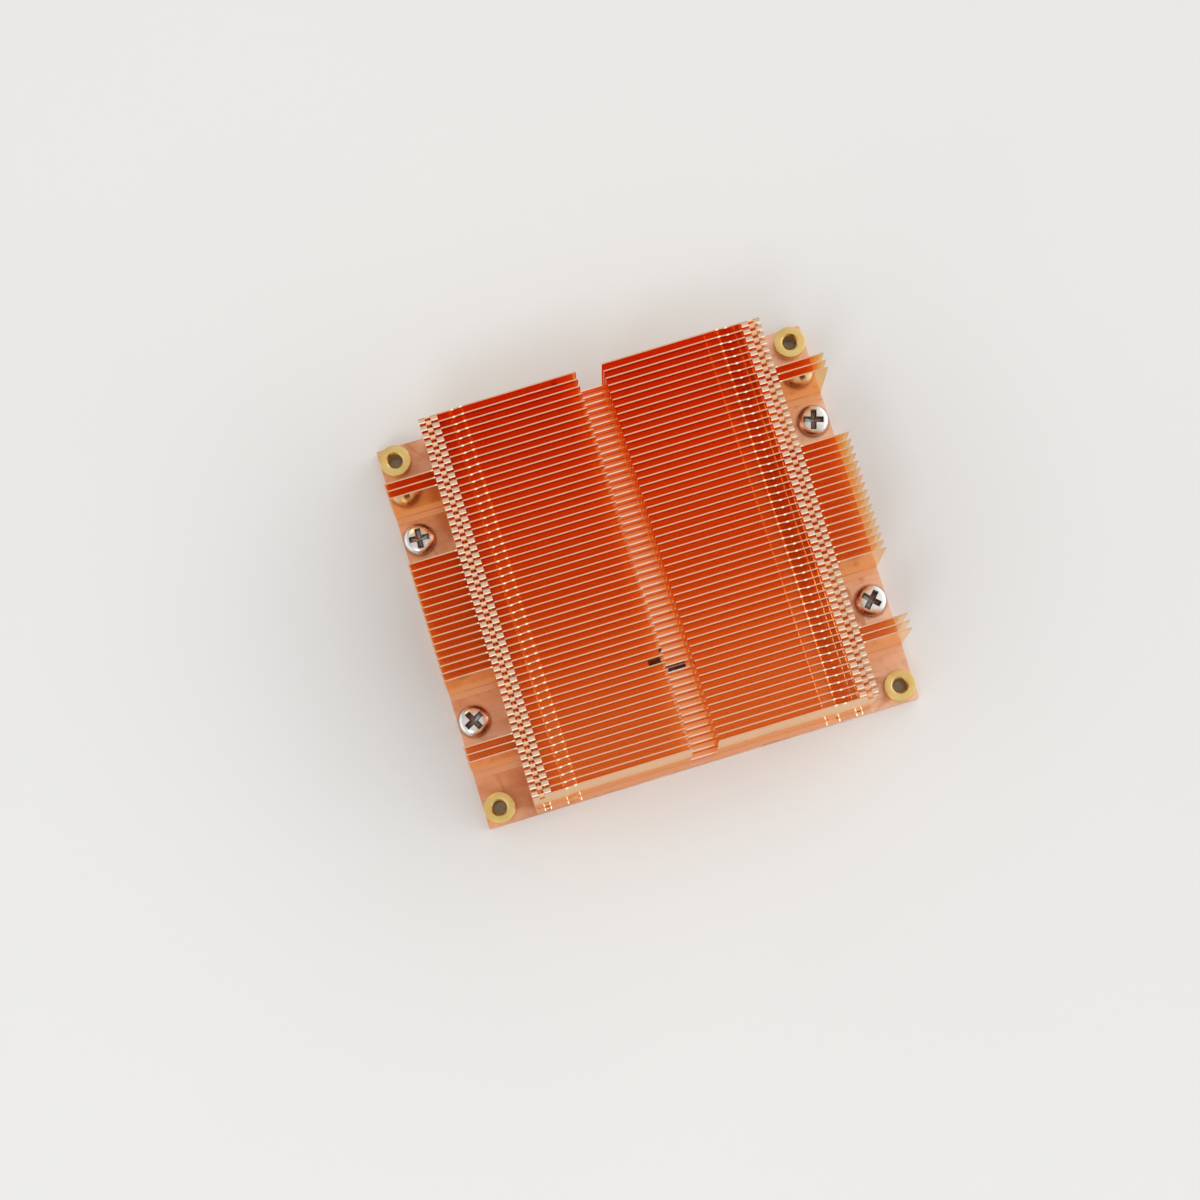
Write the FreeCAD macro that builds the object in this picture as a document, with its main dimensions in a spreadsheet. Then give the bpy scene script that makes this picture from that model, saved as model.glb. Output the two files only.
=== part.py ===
"""Passive server heat sink: folded copper fins zipped together on a copper plate.

X runs along the fins, Y from the front to the back and Z up.  The origin is the centre of the
plate's underside, so the part stands on Z = 0.  Lengths are in millimetres.
"""
import FreeCAD, Part
import os
import Sketcher

DOC = FreeCAD.newDocument("PassiveHeatSink")

# ---------------------------------------------------------------- driving dimensions

DIMENSIONS = [
    # fin stack
    ("fin_count", 53, "fins from front to back"),
    ("fin_pitch", 1.5, "distance between the fins' mid-planes"),
    ("fin_height", 23.5, "plate top to fin top"),
    ("sheet_thickness", 0.25, "copper sheet of the fins"),
    ("block_half", 35.0, "middle of the block to the end of a short fin"),
    ("wing_length", 10.0, "how far a long fin reaches past a short one"),
    ("flange_gap", 0.2, "front edge of a folded flange to the fin before it"),
    # channel across the fins
    ("channel_width", 5.3, "cross channel through the middle of every fin"),
    ("stub_height", 3.7, "what is left of each fin under the channel"),
    # interlocking tabs along the top
    ("tab_length", 3.8, "top tabs, inwards from the end of a short fin"),
    ("window_inset", 1.25, "end of a short fin to the window between its tabs"),
    ("window_width", 1.15, "window between the two tabs"),
    ("strip_width", 0.25, "strip that closes the window in front"),
    ("tongue_reach", 0.55, "how far a tongue passes the fin before it"),
    ("tongue_side_gap", 0.06, "tongue to the sides of the notch it passes"),
    ("tongue_under_gap", 0.1, "tongue to the bottom of the notch it passes"),
    # feet that are soldered to the plate
    ("foot_end_length", 6.6, "end piece of the front fin's foot, up to the relief"),
    ("foot_relief_width", 2.7, "relief between the front fin's end foot and middle foot"),
    ("foot_window_inset", 1.8, "end of the front fin to the solder window in its foot"),
    ("foot_window_width", 1.2, "solder window in the front fin's foot"),
    # base plate
    ("plate_thickness", 2.5, "underside to top"),
    ("edge_margin", 1.0, "mid-plane of an end fin to the plate's edge"),
    ("slot_left", 4.9, "probe slot, left of the middle"),
    ("slot_right", 2.2, "probe slot, right of the middle"),
    ("slot_width", 1.4, "probe slot, front to back"),
    ("slot_step", 0.55, "how much shorter the front half of the slot is"),
    # corner bushes
    ("bush_diameter", 6.3, "head of a corner bush"),
    ("bush_height", 2.8, "plate top to the top of a bush"),
    ("bush_body_diameter", 5.0, "part of a bush pressed into the plate"),
    ("bush_bore", 2.7, "clearance for an M2.5 screw"),
    ("bush_countersink", 3.5, "mouth of the bore"),
    ("bush_side_land", 0.05, "head of a bush to the plate's side"),
    ("bush_end_land", 0.15, "head of a bush to the plate's front or back edge"),
    ("press_gap", 0.02, "round a pressed bush"),
    # pan-head screws
    ("screw_diameter", 3.0, "M3 shank"),
    ("screw_head_diameter", 6.0, "pan head"),
    ("screw_head_height", 2.4, "pan head"),
    ("screw_rim_height", 0.95, "upright part of the pan head"),
    ("crown_diameter", 3.6, "flat middle of the pan head"),
    ("screw_head_land", 0.3, "head of a screw to the plate's side"),
    ("screw_spread", 0.55, "screws outwards from the middle of their bays"),
    ("screw_shift", 0.8, "all four screws towards the back"),
    ("screw_hole_gap", 0.05, "round a screw's shank"),
    ("screw_tip_recess", 0.3, "tip of a screw above the plate's underside"),
    ("recess_span", 3.0, "cross recess, tip to tip"),
    ("recess_arm", 0.9, "width of an arm of the cross"),
    ("recess_depth", 1.5, "cross recess, from the crown of the head"),
]

sheet = DOC.addObject("Spreadsheet::Sheet", "Sizes")
for row, (alias, value, note) in enumerate(DIMENSIONS, start=1):
    sheet.set(f"A{row}", alias)
    sheet.set(f"B{row}", str(value))
    sheet.set(f"C{row}", note)
    sheet.setAlias(f"B{row}", alias)
DOC.recompute()

FIN_COUNT = int(sheet.fin_count)

# Long fins stand in three groups; each pair is the first and last fin of a group, counted
# from the middle fin.
MIDDLE_WINGS = 8
OUTER_WINGS = (17, 19)
SLOT_FIN = -13

# ---------------------------------------------------------------- places worked out from them

PLATE_HALF_LENGTH = "(Sizes.block_half + Sizes.wing_length)"
PLATE_HALF_DEPTH = "((Sizes.fin_count - 1) / 2 * Sizes.fin_pitch + Sizes.edge_margin)"
HALF_SHEET = "Sizes.sheet_thickness / 2"
FLANGE_REACH = f"(Sizes.fin_pitch - {HALF_SHEET} - Sizes.flange_gap)"
TAB_START = "(Sizes.block_half - Sizes.tab_length)"
WINDOW_END = "(Sizes.block_half - Sizes.window_inset)"
WINDOW_START = f"({WINDOW_END} - Sizes.window_width)"
FOOT_END_START = "(Sizes.block_half - Sizes.foot_end_length)"
FOOT_WINDOW_END = "(Sizes.block_half - Sizes.foot_window_inset)"
NOTCH_FLOOR = "(Sizes.fin_height - Sizes.sheet_thickness - Sizes.tongue_under_gap)"
BUSH_X = f"({PLATE_HALF_LENGTH} - Sizes.bush_side_land - Sizes.bush_diameter / 2)"
BUSH_Y = f"({PLATE_HALF_DEPTH} - Sizes.bush_end_land - Sizes.bush_diameter / 2)"
BAY_MIDDLE = (MIDDLE_WINGS + OUTER_WINGS[0]) / 2
SCREW_X = f"({PLATE_HALF_LENGTH} - Sizes.screw_head_land - Sizes.screw_head_diameter / 2)"
SCREW_Y = f"({BAY_MIDDLE} * Sizes.fin_pitch + Sizes.screw_spread)"
SLOT_BACK = f"({SLOT_FIN} * Sizes.fin_pitch - {HALF_SHEET})"


# ---------------------------------------------------------------- sketch and feature helpers

def origin_plane(body, role):
    """Return one of the body's own origin planes."""
    return next(item for item in body.Origin.OriginFeatures if item.Role == role)


def new_sketch(body, name, role, height="0"):
    """Make a sketch on an origin plane of the body, raised by an expression."""
    sketch = body.newObject("Sketcher::SketchObject", name)
    sketch.AttachmentSupport = [(origin_plane(body, role), "")]
    sketch.MapMode = "FlatFace"
    sketch.setExpression("AttachmentOffset.Base.z", height)
    return sketch


def pin_point(sketch, edge, end, x, y):
    """Hold one end of an edge at a place given by two expressions."""
    for kind, expression in (("DistanceX", x), ("DistanceY", y)):
        value = float(sketch.evalExpression(expression))
        index = sketch.addConstraint(Sketcher.Constraint(kind, edge, end, value))
        sketch.setExpression(f"Constraints[{index}]", expression)


def add_outline(sketch, corners):
    """Draw a closed outline of straight edges through corners given as expressions."""
    places = [FreeCAD.Vector(float(sketch.evalExpression(x)), float(sketch.evalExpression(y)), 0)
              for x, y in corners]
    ends = places[1:] + places[:1]
    edges = [sketch.addGeometry(Part.LineSegment(start, end), False)
             for start, end in zip(places, ends)]
    for edge, following in zip(edges, edges[1:] + edges[:1]):
        sketch.addConstraint(Sketcher.Constraint("Coincident", edge, 2, following, 1))
    for edge, (x, y) in zip(edges, corners):
        pin_point(sketch, edge, 1, x, y)


def add_rectangle(sketch, left, right, low, high):
    """Draw an upright rectangle between four expressions."""
    add_outline(sketch, [(left, low), (right, low), (right, high), (left, high)])


def add_circle(sketch, x, y, radius):
    """Draw a circle whose centre and radius are expressions."""
    centre = FreeCAD.Vector(float(sketch.evalExpression(x)), float(sketch.evalExpression(y)), 0)
    size = float(sketch.evalExpression(radius))
    edge = sketch.addGeometry(Part.Circle(centre, FreeCAD.Vector(0, 0, 1), size), False)
    pin_point(sketch, edge, 3, x, y)
    index = sketch.addConstraint(Sketcher.Constraint("Radius", edge, size))
    sketch.setExpression(f"Constraints[{index}]", radius)


def add_pad(body, sketch, length):
    """Pad a sketch upwards by an expression."""
    pad = body.newObject("PartDesign::Pad", sketch.Name + "_pad")
    pad.Profile = sketch
    pad.setExpression("Length", length)
    body.Tip = pad
    return pad


def add_through_pocket(body, sketch):
    """Cut a sketch through everything on both sides of its plane."""
    pocket = body.newObject("PartDesign::Pocket", sketch.Name + "_cut")
    pocket.Profile = sketch
    pocket.SideType = "Symmetric"
    pocket.Type = "ThroughAll"
    body.Tip = pocket
    return pocket


def add_revolution(body, sketch):
    """Turn a sketch once round the sketch's own upright axis."""
    turned = body.newObject("PartDesign::Revolution", sketch.Name + "_turned")
    turned.Profile = sketch
    turned.ReferenceAxis = (sketch, ["V_Axis"])
    turned.Angle = 360
    body.Tip = turned
    return turned


def place(item, x="0", y="0", z="0", turn="0"):
    """Bind the item's place and its turn about Z to expressions."""
    item.setExpression("Placement.Base.x", x)
    item.setExpression("Placement.Base.y", y)
    item.setExpression("Placement.Base.z", z)
    item.setExpression("Placement.Rotation.Angle", turn)


def add_copy(pattern, label):
    """Make a body that repeats the shape of a pattern body."""
    body = DOC.addObject("PartDesign::Body", label)
    repeat = DOC.addObject("PartDesign::FeatureBase", label + "_shape")
    repeat.BaseFeature = pattern
    body.Group = [repeat]
    body.Tip = repeat
    return body


# ---------------------------------------------------------------- fins

def add_web(body, half_length):
    """Stand up the fin's web and cut the channel and the notch for the next fin's tongue."""
    plan = new_sketch(body, "web_plan", "XY_Plane")
    add_rectangle(plan, "0", half_length, f"-{HALF_SHEET}", HALF_SHEET)
    add_pad(body, plan, "Sizes.fin_height")

    openings = new_sketch(body, "web_openings", "XZ_Plane")
    above = "Sizes.fin_height + 1"
    add_rectangle(openings, "-1", "Sizes.channel_width / 2", "Sizes.stub_height", above)
    add_rectangle(openings, WINDOW_START, WINDOW_END, NOTCH_FLOOR, above)
    add_through_pocket(body, openings)


def add_feet(body, half_length, foot_reach, in_pieces):
    """Fold the foot forwards on to the plate; the front fin's is slotted and windowed."""
    stretches = [("0", half_length)]
    if in_pieces:
        stretches = [("0", f"{FOOT_END_START} - Sizes.foot_relief_width"),
                     (FOOT_END_START, f"{FOOT_WINDOW_END} - Sizes.foot_window_width"),
                     (FOOT_WINDOW_END, half_length)]
    feet = new_sketch(body, "feet", "XY_Plane")
    for inner, outer in stretches:
        add_rectangle(feet, inner, outer, f"-{foot_reach}", "0")
    add_pad(body, feet, "Sizes.sheet_thickness")


def add_tabs(body):
    """Fold two top tabs forwards, joined by a strip whose tongue hooks into the next fin."""
    front = f"-{FLANGE_REACH}"
    window_front = f"-{FLANGE_REACH} + Sizes.strip_width"
    tongue_start = f"{WINDOW_START} + Sizes.tongue_side_gap"
    tongue_end = f"{WINDOW_END} - Sizes.tongue_side_gap"
    tongue_tip = "-(Sizes.fin_pitch + Sizes.tongue_reach)"
    tabs = new_sketch(body, "tabs", "XY_Plane", "Sizes.fin_height - Sizes.sheet_thickness")
    add_outline(tabs, [
        (TAB_START, "0"), (TAB_START, front),
        (tongue_start, front), (tongue_start, tongue_tip), (tongue_end, tongue_tip),
        (tongue_end, front), ("Sizes.block_half", front), ("Sizes.block_half", "0"),
        (WINDOW_END, "0"), (WINDOW_END, window_front),
        (WINDOW_START, window_front), (WINDOW_START, "0"),
    ])
    add_pad(body, tabs, "Sizes.sheet_thickness")


def make_fin_pattern(name, with_wing=False, with_tabs=True, foot_reach=FLANGE_REACH):
    """Build one folded fin about its own mid-plane, one half drawn and the other mirrored."""
    body = DOC.addObject("PartDesign::Body", name)
    half_length = PLATE_HALF_LENGTH if with_wing else "Sizes.block_half"
    add_web(body, half_length)
    add_feet(body, half_length, foot_reach, in_pieces=not with_tabs)
    if with_tabs:
        add_tabs(body)
    mirrored = body.newObject("PartDesign::Mirrored", name + "_halves")
    mirrored.MirrorPlane = (origin_plane(body, "YZ_Plane"), [""])
    mirrored.TransformMode = "Whole shape"
    body.Tip = mirrored
    DOC.recompute()
    return body


def add_slot_corners(sketch, back):
    """Draw the stepped probe slot with its back edge at an expression."""
    step_line = f"{back} - Sizes.slot_width / 2"
    front = f"{back} - Sizes.slot_width"
    short_end = "Sizes.slot_right - Sizes.slot_step"
    add_outline(sketch, [
        ("-Sizes.slot_left", front), (short_end, front), (short_end, step_line),
        ("Sizes.slot_right", step_line), ("Sizes.slot_right", back), ("-Sizes.slot_left", back),
    ])


def make_slotted_pattern(fin_pattern):
    """Copy a short fin and open its foot over the probe slot in the plate."""
    body = add_copy(fin_pattern, "slotted_fin_pattern")
    slot = new_sketch(body, "foot_slot", "XY_Plane")
    add_slot_corners(slot, f"-{HALF_SHEET}")
    add_through_pocket(body, slot)
    return body


def make_fins():
    """Stand the fins on the plate, numbered from the front."""
    short = make_fin_pattern("short_fin_pattern")
    long = make_fin_pattern("long_fin_pattern", with_wing=True)
    front = make_fin_pattern("front_fin_pattern", with_tabs=False, foot_reach="Sizes.edge_margin")
    slotted = make_slotted_pattern(short)
    fins = []
    middle = FIN_COUNT // 2
    for number in range(1, FIN_COUNT + 1):
        steps = number - 1 - middle
        if number == 1:
            pattern = front
        elif steps == SLOT_FIN:
            pattern = slotted
        elif abs(steps) <= MIDDLE_WINGS or OUTER_WINGS[0] <= abs(steps) <= OUTER_WINGS[1]:
            pattern = long
        else:
            pattern = short
        fin = add_copy(pattern, f"fin_{number:02d}")
        place(fin, y=f"({number - 1} - (Sizes.fin_count - 1) / 2) * Sizes.fin_pitch",
              z="Sizes.plate_thickness")
        fins.append(fin)
    return fins


# ---------------------------------------------------------------- base plate

def corner_places(x, y, shift="0"):
    """Yield the name and place of one thing at each of four corners, shifted to the back."""
    for end, y_sign in (("front", "-"), ("back", "")):
        for side, x_sign in (("left", "-"), ("right", "")):
            yield f"{end}_{side}", f"{x_sign}{x}", f"{y_sign}{y} + {shift}"


def make_base_plate():
    """Build the flat plate with its bush and screw holes and the probe slot."""
    body = DOC.addObject("PartDesign::Body", "base_plate")
    plan = new_sketch(body, "plate_plan", "XY_Plane")
    add_rectangle(plan, f"-{PLATE_HALF_LENGTH}", PLATE_HALF_LENGTH,
                  f"-{PLATE_HALF_DEPTH}", PLATE_HALF_DEPTH)
    add_pad(body, plan, "Sizes.plate_thickness")

    holes = new_sketch(body, "plate_holes", "XY_Plane")
    for _, x, y in corner_places(BUSH_X, BUSH_Y):
        add_circle(holes, x, y, "Sizes.bush_body_diameter / 2 + Sizes.press_gap")
    for _, x, y in corner_places(SCREW_X, SCREW_Y, "Sizes.screw_shift"):
        add_circle(holes, x, y, "Sizes.screw_diameter / 2 + Sizes.screw_hole_gap")
    add_slot_corners(holes, SLOT_BACK)
    add_through_pocket(body, holes)
    return body


# ---------------------------------------------------------------- bushes and screws

def make_bushes():
    """Turn one flanged bush and press a copy of it into each corner of the plate."""
    pattern = DOC.addObject("PartDesign::Body", "bush_pattern")
    profile = new_sketch(pattern, "bush_profile", "XZ_Plane")
    head = "Sizes.bush_diameter / 2"
    bore = "Sizes.bush_bore / 2"
    top = "Sizes.plate_thickness + Sizes.bush_height"
    countersink = "Sizes.bush_countersink / 2"
    add_outline(profile, [
        (bore, "0"),
        ("Sizes.bush_body_diameter / 2", "0"),
        ("Sizes.bush_body_diameter / 2", "Sizes.plate_thickness"),
        (head, "Sizes.plate_thickness"),
        (head, top),
        (countersink, top),
        (bore, f"{top} - ({countersink} - {bore})"),
    ])
    add_revolution(pattern, profile)
    bushes = []
    for name, x, y in corner_places(BUSH_X, BUSH_Y):
        bush = add_copy(pattern, f"bush_{name}")
        place(bush, x, y)
        bushes.append(bush)
    return bushes


def add_screw_profile(sketch):
    """Draw half a pan-head screw: a plain shank, an upright rim and a flat crown."""
    shank = "Sizes.screw_diameter / 2"
    head = "Sizes.screw_head_diameter / 2"
    tip = "Sizes.screw_tip_recess - Sizes.plate_thickness"
    add_outline(sketch, [
        ("0", tip), (shank, tip), (shank, "0"), (head, "0"), (head, "Sizes.screw_rim_height"),
        ("Sizes.crown_diameter / 2", "Sizes.screw_head_height"), ("0", "Sizes.screw_head_height"),
    ])


def make_screws():
    """Turn one pan-head screw, sink its cross recess and set four copies in the plate."""
    pattern = DOC.addObject("PartDesign::Body", "screw_pattern")
    profile = new_sketch(pattern, "screw_profile", "XZ_Plane")
    add_screw_profile(profile)
    add_revolution(pattern, profile)
    cross = new_sketch(pattern, "cross_recess", "XY_Plane", "Sizes.screw_head_height")
    tip = "Sizes.recess_span / 2"
    arm = "Sizes.recess_arm / 2"
    add_outline(cross, [
        (tip, f"-{arm}"), (tip, arm), (arm, arm), (arm, tip), (f"-{arm}", tip), (f"-{arm}", arm),
        (f"-{tip}", arm), (f"-{tip}", f"-{arm}"), (f"-{arm}", f"-{arm}"), (f"-{arm}", f"-{tip}"),
        (arm, f"-{tip}"), (arm, f"-{arm}"),
    ])
    recess = pattern.newObject("PartDesign::Pocket", "cross_recess_cut")
    recess.Profile = cross
    recess.setExpression("Length", "Sizes.recess_depth")
    pattern.Tip = recess

    # each screw was left at its own angle when it was driven home
    turns = {"front_left": 45, "front_right": 25, "back_left": 10, "back_right": 12}
    screws = []
    for name, x, y in corner_places(SCREW_X, SCREW_Y, "Sizes.screw_shift"):
        screw = add_copy(pattern, f"screw_{name}")
        place(screw, x, y, "Sizes.plate_thickness", str(turns[name]))
        screws.append(screw)
    group = DOC.addObject("Part::Compound", "plate_screws")
    group.Links = screws
    return group


# ---------------------------------------------------------------- build, check and write

def check_and_export(parts):
    """Stop on any failed object or bad shape, then write one STEP file for each part."""
    failed = [item.Name for item in DOC.Objects
              if "Invalid" in item.State or "Error" in item.State]
    if failed:
        raise RuntimeError("failed objects: " + ", ".join(failed))
    for part in parts:
        if part.Shape.isNull() or not part.Shape.isValid():
            raise RuntimeError("bad shape: " + part.Label)
    os.makedirs("parts", exist_ok=True)
    for part in parts:
        part.Shape.exportStep(f"parts/{part.Label}.step")


sub_parts = [make_base_plate()]
sub_parts += make_fins()
sub_parts += make_bushes()
sub_parts.append(make_screws())
DOC.recompute()
check_and_export(sub_parts)
print(len(sub_parts), "sub-parts written")
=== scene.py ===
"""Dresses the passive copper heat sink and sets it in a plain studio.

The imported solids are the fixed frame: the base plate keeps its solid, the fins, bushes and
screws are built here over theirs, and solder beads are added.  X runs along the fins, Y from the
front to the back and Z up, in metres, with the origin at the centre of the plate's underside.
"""
import logging
import math
from dataclasses import dataclass, field
from enum import Enum
from typing import Any, Sequence

import bmesh
import bpy
from mathutils import Euler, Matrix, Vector


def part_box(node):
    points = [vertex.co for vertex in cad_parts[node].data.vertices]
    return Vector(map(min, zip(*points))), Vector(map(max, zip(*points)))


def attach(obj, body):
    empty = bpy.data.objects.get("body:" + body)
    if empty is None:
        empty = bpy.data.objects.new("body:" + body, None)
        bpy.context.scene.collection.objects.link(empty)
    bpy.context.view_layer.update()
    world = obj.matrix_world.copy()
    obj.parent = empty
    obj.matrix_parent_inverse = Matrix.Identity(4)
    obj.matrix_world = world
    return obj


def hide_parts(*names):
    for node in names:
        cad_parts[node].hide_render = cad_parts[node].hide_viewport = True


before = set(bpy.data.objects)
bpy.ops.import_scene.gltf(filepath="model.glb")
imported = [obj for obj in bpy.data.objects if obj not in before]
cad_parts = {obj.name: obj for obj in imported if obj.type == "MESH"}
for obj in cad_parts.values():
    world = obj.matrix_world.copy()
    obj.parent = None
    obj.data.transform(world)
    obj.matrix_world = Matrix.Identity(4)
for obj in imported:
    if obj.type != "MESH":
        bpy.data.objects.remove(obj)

LOG = logging.getLogger("heat_sink")
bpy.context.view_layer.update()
ROOT = "root"
MM = 0.001
SHARP_EDGE = math.radians(35)
TURN_RADIUS = "turn_radius"
TURN_STEPS = 96

Colour = tuple[float, float, float, float]
Span = tuple[float, float]
Inputs = dict[str | int, Any]
Socket = bpy.types.NodeSocket
Thing = bpy.types.Object
Loop = list[bmesh.types.BMVert]


def mm(*lengths: float) -> tuple[float, ...]:
    """Return lengths in metres that are given in millimetres."""
    return tuple(length * MM for length in lengths)


class Slot(Enum):
    """The record's material slots, named beside the pieces built here but not given to them."""

    FINS = "fin_copper"
    BUSHES = "bush_brass"
    SCREWS = "screw_steel"


# ---- node graphs


@dataclass(frozen=True)
class Pattern:
    """A noise: its cells per metre, finer layers, stretch along the axes and the range shown."""

    scale: float
    detail: float = 2.0
    stretch: tuple[float, float, float] = (1, 1, 1)
    shown: Span | None = None


class Value:
    """A number socket; sums and products on it add Math nodes to its graph."""

    def __init__(self, graph: "Graph", socket: Socket) -> None:
        """Keep the socket and the graph that it belongs to."""
        self.graph = graph
        self.socket = socket

    def _math(self, operation: str, *numbers: Any) -> "Value":
        """Add one Math node with this operation on numbers or Values, and return its result."""
        node = self.graph.add("ShaderNodeMath", {"operation": operation}, dict(enumerate(numbers)))
        return self.graph.number(node, 0)

    def __add__(self, other: Any) -> "Value":
        """Return the sum."""
        return self._math("ADD", self, other)

    __radd__ = __add__

    def __sub__(self, other: Any) -> "Value":
        """Return the difference."""
        return self._math("SUBTRACT", self, other)

    def __rsub__(self, other: Any) -> "Value":
        """Return the difference with this value taken away."""
        return self._math("SUBTRACT", other, self)

    def __mul__(self, other: Any) -> "Value":
        """Return the product."""
        return self._math("MULTIPLY", self, other)

    __rmul__ = __mul__

    def __truediv__(self, other: Any) -> "Value":
        """Return the quotient."""
        return self._math("DIVIDE", self, other)

    def __lt__(self, other: Any) -> "Value":
        """Return 1 where this value is the smaller."""
        return self._math("LESS_THAN", self, other)

    def __gt__(self, other: Any) -> "Value":
        """Return 1 where this value is the larger."""
        return self._math("GREATER_THAN", self, other)

    def __abs__(self) -> "Value":
        """Return the size without the sign."""
        return self._math("ABSOLUTE", self)

    def larger(self, other: Any) -> "Value":
        """Return the larger of the two."""
        return self._math("MAXIMUM", self, other)

    def root(self) -> "Value":
        """Return the square root."""
        return self._math("SQRT", self)

    def sine(self) -> "Value":
        """Return the sine."""
        return self._math("SINE", self)

    def within(self, low: float, high: float) -> "Value":
        """Return 1 between two limits."""
        return (self > low) * (self < high)

    def towards(self, goal: float, share: "Value") -> "Value":
        """Return this value moved towards a goal by a share of the way."""
        return self + (goal - self) * share

    def eased(self, low: float, high: float) -> "Value":
        """Rise smoothly from 0 to 1 between two limits.

        Args:
            low: Where the result is 0.
            high: Where the result is 1.

        Returns:
            The eased value.
        """
        inputs = {"Value": self, "From Min": low, "From Max": high}
        node = self.graph.add("ShaderNodeMapRange", {"interpolation_type": "SMOOTHSTEP"}, inputs)
        return self.graph.number(node, "Result")


class Graph:
    """Adds and links nodes in one node tree."""

    def __init__(self, tree: bpy.types.NodeTree) -> None:
        """Keep the tree; where is for the coordinates that the patterns follow."""
        self.tree = tree
        self.where: Socket | None = None

    @classmethod
    def fresh(cls, owner: bpy.types.Material | bpy.types.World, coordinates: str) -> "Graph":
        """Start the nodes of a material or a world anew.

        Args:
            owner: The material or world.
            coordinates: The texture coordinates that its patterns follow.

        Returns:
            The graph, which keeps the coordinates as where.
        """
        owner.use_nodes = True
        owner.node_tree.nodes.clear()
        graph = cls(owner.node_tree)
        graph.where = graph.add("ShaderNodeTexCoord").outputs[coordinates]
        return graph

    def add(
        self, kind: str, settings: Inputs | None = None, inputs: Inputs | None = None
    ) -> bpy.types.Node:
        """Add one node.

        Args:
            kind: The node's type name.
            settings: Properties that are set first.
            inputs: Values or links of its input sockets, by name or place.

        Returns:
            The new node.
        """
        node = self.tree.nodes.new(kind)
        for name, setting in (settings or {}).items():
            setattr(node, name, setting)
        for name, given in (inputs or {}).items():
            given = given.socket if isinstance(given, Value) else given
            if isinstance(given, Socket):
                self.tree.links.new(given, node.inputs[name])
            else:
                node.inputs[name].default_value = given
        return node

    def number(self, node: bpy.types.Node, output: str | int) -> Value:
        """Return one of the node's outputs as a Value."""
        return Value(self, node.outputs[output])

    def parts(self, where: Socket) -> list[Value]:
        """Return the X, Y and Z of a place."""
        node = self.add("ShaderNodeSeparateXYZ", {}, {0: where})
        return [self.number(node, axis) for axis in "XYZ"]

    def vector(self, **parts: Any) -> Socket:
        """Return a vector with the given X, Y and Z."""
        return self.add("ShaderNodeCombineXYZ", {}, parts).outputs[0]

    def carried(self, attribute: str) -> Value:
        """Return a number that the mesh carries at its points."""
        return self.number(self.add("ShaderNodeAttribute", {"attribute_name": attribute}), "Fac")

    def noise(self, pattern: Pattern) -> Value:
        """Add a noise on the graph's coordinates.

        Args:
            pattern: The noise.

        Returns:
            The noise, about 0.5 on average, or eased from 0 to 1 over the range shown.
        """
        mapping = self.add("ShaderNodeMapping", {}, {"Vector": self.where, "Scale": pattern.stretch})
        inputs = {"Vector": mapping.outputs[0], "Scale": pattern.scale, "Detail": pattern.detail}
        noise = self.number(self.add("ShaderNodeTexNoise", {}, inputs), 0)
        return noise.eased(*pattern.shown) if pattern.shown else noise

    def blend(self, colour: Any, *coats: tuple[Any, Value]) -> Socket:
        """Lay colours over one another.

        Args:
            colour: The colour underneath.
            coats: Each colour laid over it and the share of it that shows.

        Returns:
            The mixed colour's socket.
        """
        for coat, share in coats:
            node = self.add("ShaderNodeMix", {"data_type": "RGBA"}, {0: share, 6: colour, 7: coat})
            colour = node.outputs[2]
        return colour


# ---- finishes


@dataclass(frozen=True)
class Finish:
    """A surface finish; each kind paints its own shader."""

    METALLIC = 1.0

    name: str

    def build(self) -> bpy.types.Material:
        """Make the material.

        Returns:
            The new material.
        """
        material = bpy.data.materials.new(self.name)
        graph = Graph.fresh(material, "Object")
        inputs = {"Metallic": self.METALLIC, **self.paint(graph)}
        shader = graph.add("ShaderNodeBsdfPrincipled", {}, inputs)
        graph.add("ShaderNodeOutputMaterial", {}, {"Surface": shader.outputs[0]})
        return material

    def paint(self, graph: Graph) -> Inputs:
        """Work out the shader's inputs.

        Args:
            graph: The material's graph, on object coordinates.

        Returns:
            The inputs of the Principled shader.
        """
        raise NotImplementedError

    @staticmethod
    def bump(graph: Graph, height: Value, depth: float) -> Socket:
        """Return the normal of a height that is worth the depth, in metres, where it is 1."""
        inputs = {"Strength": 1.0, "Distance": depth, "Height": height}
        return graph.add("ShaderNodeBump", {}, inputs).outputs[0]


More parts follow.
